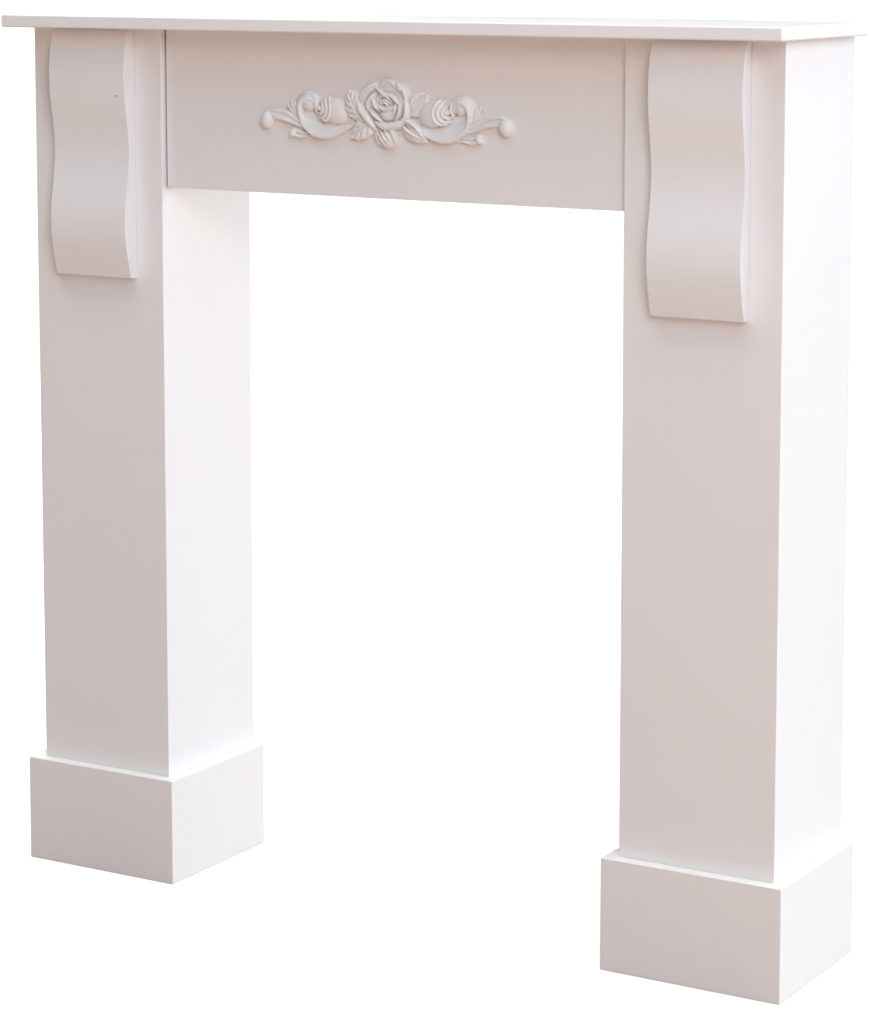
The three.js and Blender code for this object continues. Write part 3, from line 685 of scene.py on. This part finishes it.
def carvedSheet():
    # A grid over the casting. Its points within half a cell of the outline are moved onto it, along the
    # gradient of the depth inside, and its heights are blurred a little, as paint fills creases. A crease
    # is where the height is well under its wider blur, and its share there is the painted shade of the crease.
    (u0, u1), (v0, v1) = swag["reach"]
    cell = swag["cell"]
    u, v = np.meshgrid(np.arange(u0, u1, cell), np.arange(v0, v1, cell))
    inside, height = carve(u, v)
    slopeV, slopeU = np.gradient(np.maximum(inside, -swag["outerCells"] * cell), cell)
    steepness = np.maximum(np.hypot(slopeU, slopeV), swag["leastSlope"])
    depth = inside / steepness
    onRim = np.abs(depth) < 0.5 * cell
    u = np.where(onRim, u - depth * slopeU / steepness, u)
    v = np.where(onRim, v - depth * slopeV / steepness, v)
    height = blurred(height, swag["paintPasses"])
    # painted shade: the deeper a point lies under its wider blur, the more grey is painted there
    wide = blurred(np.where(inside > 0, height, 0), round(2 * (swag["creaseWidth"] / cell) ** 2))
    paintedCreaseShade = np.clip((wide - height) / swag["creaseDepth"], 0, 1) ** swag["creasePower"]
    paintedCreaseShade = paintedCreaseShade * (depth > swag["creaseInset"] * cell)
    number = np.arange(u.size).reshape(u.shape)
    corners = gridFaces(number)
    kept = (depth > -0.5 * cell).ravel()[corners]
    deep = (depth >= 0.5 * cell).ravel()[corners].any(axis=1)
    quads = corners[kept.all(axis=1) & deep]
    short = kept.sum(axis=1) == 3
    triangles = corners[short & deep][kept[short & deep]].reshape(-1, 3)
    return np.column_stack([u.ravel(), v.ravel(), height.ravel(), paintedCreaseShade.ravel()]), [quads, triangles]


def makeSwag(name, node):
    # the carved sheet, a low wall down from its rim, and a flat back filled in between the rims
    low, high = (np.array(corner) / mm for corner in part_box(node))
    sheet, faceSets = carvedSheet()
    faceSets, rim = oneSheet(faceSets, len(sheet))
    used = np.unique(np.concatenate([faces.ravel() for faces in faceSets]))
    place = np.zeros(len(sheet), int)     # the new number of each point that is used
    place[used] = np.arange(len(used))
    faceSets, rim, sheet = [place[faces] for faces in faceSets], place[rim], sheet[used]
    below = np.zeros(len(sheet), int)     # the foot point under each rim point
    below[rim[:, 0]] = len(sheet) + np.arange(len(rim))
    foot = sheet[rim[:, 0]] * (1, 1, 0, 0)
    walls = np.column_stack([rim[:, 1], rim[:, 0], below[rim[:, 0]], below[rim[:, 1]]])
    outline = bpy.data.meshes.new("swagOutline")
    outline.from_pydata(foot[:, :3].tolist(), (below[rim] - len(sheet)).tolist(), [])
    filler = bmesh.new()
    filler.from_mesh(outline)
    bmesh.ops.triangle_fill(filler, use_beauty=False, use_dissolve=False, edges=filler.edges, normal=(0, 0, -1))
    filler.to_mesh(outline)
    filler.free()
    back = np.empty(len(outline.loops), np.int32)
    outline.loops.foreach_get("vertex_index", back)
    back = back.reshape(-1, 3) + len(sheet)
    bpy.data.meshes.remove(outline)
    points = np.vstack([sheet, foot])
    a, b, c = (points[back[:, k]] for k in range(3))
    # the back's triangles whose corners run anticlockwise look up into the casting, and are turned over
    upward = (b[:, 0] - a[:, 0]) * (c[:, 1] - a[:, 1]) - (b[:, 1] - a[:, 1]) * (c[:, 0] - a[:, 0]) > 0
    back[upward] = back[upward][:, ::-1]
    paintedCreaseShades = points[:, 3]
    points = np.column_stack([swag["centre"][0] + points[:, 0], high[1] - points[:, 2],
                              swag["centre"][1] + points[:, 1]])
    faces = [face for group in (*faceSets, walls, back) for face in group.tolist()]
    piece = meshFromArrays(name, points * mm, faces, castLacquer)
    smooth = np.arange(len(faces)) < sum(len(group) for group in faceSets)
    piece.data.polygons.foreach_set("use_smooth", smooth)
    # each point's share of painted crease shade, read by the cast lacquer
    piece.data.attributes.new("paintedCreaseShade", "FLOAT", "POINT").data.foreach_set("value", paintedCreaseShades)
    finishPiece(piece, "cast_ornament", node)


makeSwag("roseSwag", "rose_swag")
print("swag carved")


# Studio

camera = {
    "focal": 2966, "centreRow": 308,   # pixels of the 870 by 1024 picture
    "rows": 1024,                      # its longer side
    "sensor": 36,                      # mm along that side
    "yaw": 30.79, "pitch": 7.08,       # degrees
    "place": (1.784, -2.946, 1.150),   # m
}
cameraData = bpy.data.cameras.new("camera")
cameraData.sensor_width = camera["sensor"]
cameraData.lens = camera["focal"] / camera["rows"] * camera["sensor"]
cameraData.shift_y = -(camera["rows"] / 2 - camera["centreRow"]) / camera["rows"]
cameraObject = bpy.data.objects.new("camera", cameraData)
cameraObject.location = camera["place"]
cameraObject.rotation_euler = (math.radians(90 - camera["pitch"]), 0, math.radians(camera["yaw"]))
bpy.context.scene.collection.objects.link(cameraObject)
bpy.context.scene.camera = cameraObject

studio = {
    # place, target, width and height in m, then the power in W of each linear colour channel
    "softboxes": {
        "frontSoftbox": ((2.6, -3.0, 2.4), (0, 0, 0.6), 1.6, 1.6, (59.6, 53.6, 50.2)),
        "overheadSoftbox": ((0.3, -1.3, 3.2), (0, 0, 0.6), 2.4, 1.6, (18.2, 23.9, 28.7)),
        "rearSoftbox": ((-3.2, 2.6, 2.4), (0, 0, 0.5), 2.4, 2.0, (50.0, 54.0, 60.0)),
    },
    "ceilingLight": (2.28, 2.05, 1.73),   # W/m2 of each channel, straight down
    "ceilingDisc": 50,                    # degrees across, so that its shadows are soft
    # glows in the air: where each one is, how fast it fades, and the strength of each channel
    "glows": [((0.766, 0.643, 0), 6, (3.70, 3.87, 3.73)), ((1, 0, 0), 2, (0.67, 1.05, 1.51))],
    "floorSeen": "#f9f9f9",
    "floorBounce": "#bca497",
    "floorRoughness": 0.9,
    "floorLift": 0.3,     # keeps the floor's far side and its shadows light
    "floorReach": 400,    # m, so that its far edge is never in the picture
}


def addLamp(name, kind, power, settings):
    # a lamp's strength is the greatest channel, and its colour is the share of each
    data = bpy.data.lights.new(name, kind)
    data.energy = max(power)
    data.color = [channel / max(power) for channel in power]
    for setting, value in settings.items():
        setattr(data, setting, value)
    lamp = bpy.data.objects.new(name, data)
    bpy.context.scene.collection.objects.link(lamp)
    return lamp


for lampName, (place, target, width, height, power) in studio["softboxes"].items():
    lamp = addLamp(lampName, "AREA", power, {"shape": "RECTANGLE", "size": width, "size_y": height})
    lamp.location = place
    lamp.visible_camera = False
    lamp.rotation_euler = (Vector(target) - lamp.location).to_track_quat("-Z", "Y").to_euler()
addLamp("ceilingLight", "SUN", studio["ceilingLight"], {"angle": math.radians(studio["ceilingDisc"])})

# each glow is a power of the cosine between a direction and its middle, and the air itself looks white
world = bpy.data.worlds.new("studioAir")
world.use_nodes = True
air = world.node_tree
direction = addNode(air, "ShaderNodeTexCoord").outputs["Generated"]
total = None
for middle, fading, strengths in studio["glows"]:
    cosine = addNode(air, "ShaderNodeVectorMath", {0: direction, 1: middle}, operation="DOT_PRODUCT")
    facing = addNode(air, "ShaderNodeMath", {0: cosine.outputs["Value"], 1: 0.0},
                     operation="MAXIMUM").outputs[0]
    faded = addNode(air, "ShaderNodeMath", {0: facing, 1: fading}, operation="POWER").outputs[0]
    strength = addNode(air, "ShaderNodeMath", {0: faded, 1: max(strengths)}, operation="MULTIPLY").outputs[0]
    tint = [channel / max(strengths) for channel in strengths] + [1.0]
    glow = addNode(air, "ShaderNodeBackground", {"Color": tint, "Strength": strength}).outputs["Background"]
    total = addNode(air, "ShaderNodeAddShader", {0: total, 1: glow}).outputs[0] if total else glow
whiteAir = air.nodes["Background"]
whiteAir.inputs["Color"].default_value = (1, 1, 1, 1)
lightPath = addNode(air, "ShaderNodeLightPath").outputs["Is Camera Ray"]
seenAir = addNode(air, "ShaderNodeMixShader", {0: lightPath, 1: total, 2: whiteAir.outputs["Background"]})
air.links.new(seenAir.outputs["Shader"], air.nodes["World Output"].inputs["Surface"])
bpy.context.scene.world = world
bpy.context.scene.view_settings.view_transform = "Standard"

# a floor that looks white and throws back only a little warm light
floorMaterial = bpy.data.materials.new("paintedStudioFloor")
floorMaterial.use_nodes = True
floorTree = floorMaterial.node_tree
floorShader = floorTree.nodes["Principled BSDF"]
floorShader.inputs["Roughness"].default_value = studio["floorRoughness"]
floorTone = addNode(floorTree, "ShaderNodeMix", data_type="RGBA")
seen = addNode(floorTree, "ShaderNodeLightPath").outputs["Is Camera Ray"]
floorTree.links.new(seen, floorTone.inputs["Factor"])
colourSocket(floorTone, "A").default_value = linearColour(studio["floorBounce"])
colourSocket(floorTone, "B").default_value = linearColour(studio["floorSeen"])
floorTree.links.new(colourSocket(floorTone, "Result", floorTone.outputs), floorShader.inputs["Base Color"])
floorShader.inputs["Emission Color"].default_value = (1, 1, 1, 1)
lift = addNode(floorTree, "ShaderNodeMath", {0: seen, 1: studio["floorLift"]}, operation="MULTIPLY")
floorTree.links.new(lift.outputs[0], floorShader.inputs["Emission Strength"])
reach = studio["floorReach"]
floorCorners = [(-reach, -reach, 0), (reach, -reach, 0), (reach, reach, 0), (-reach, reach, 0)]
floor = meshFromArrays("studioFloor", floorCorners, [(0, 1, 2, 3)], floorMaterial)
print("studio made")
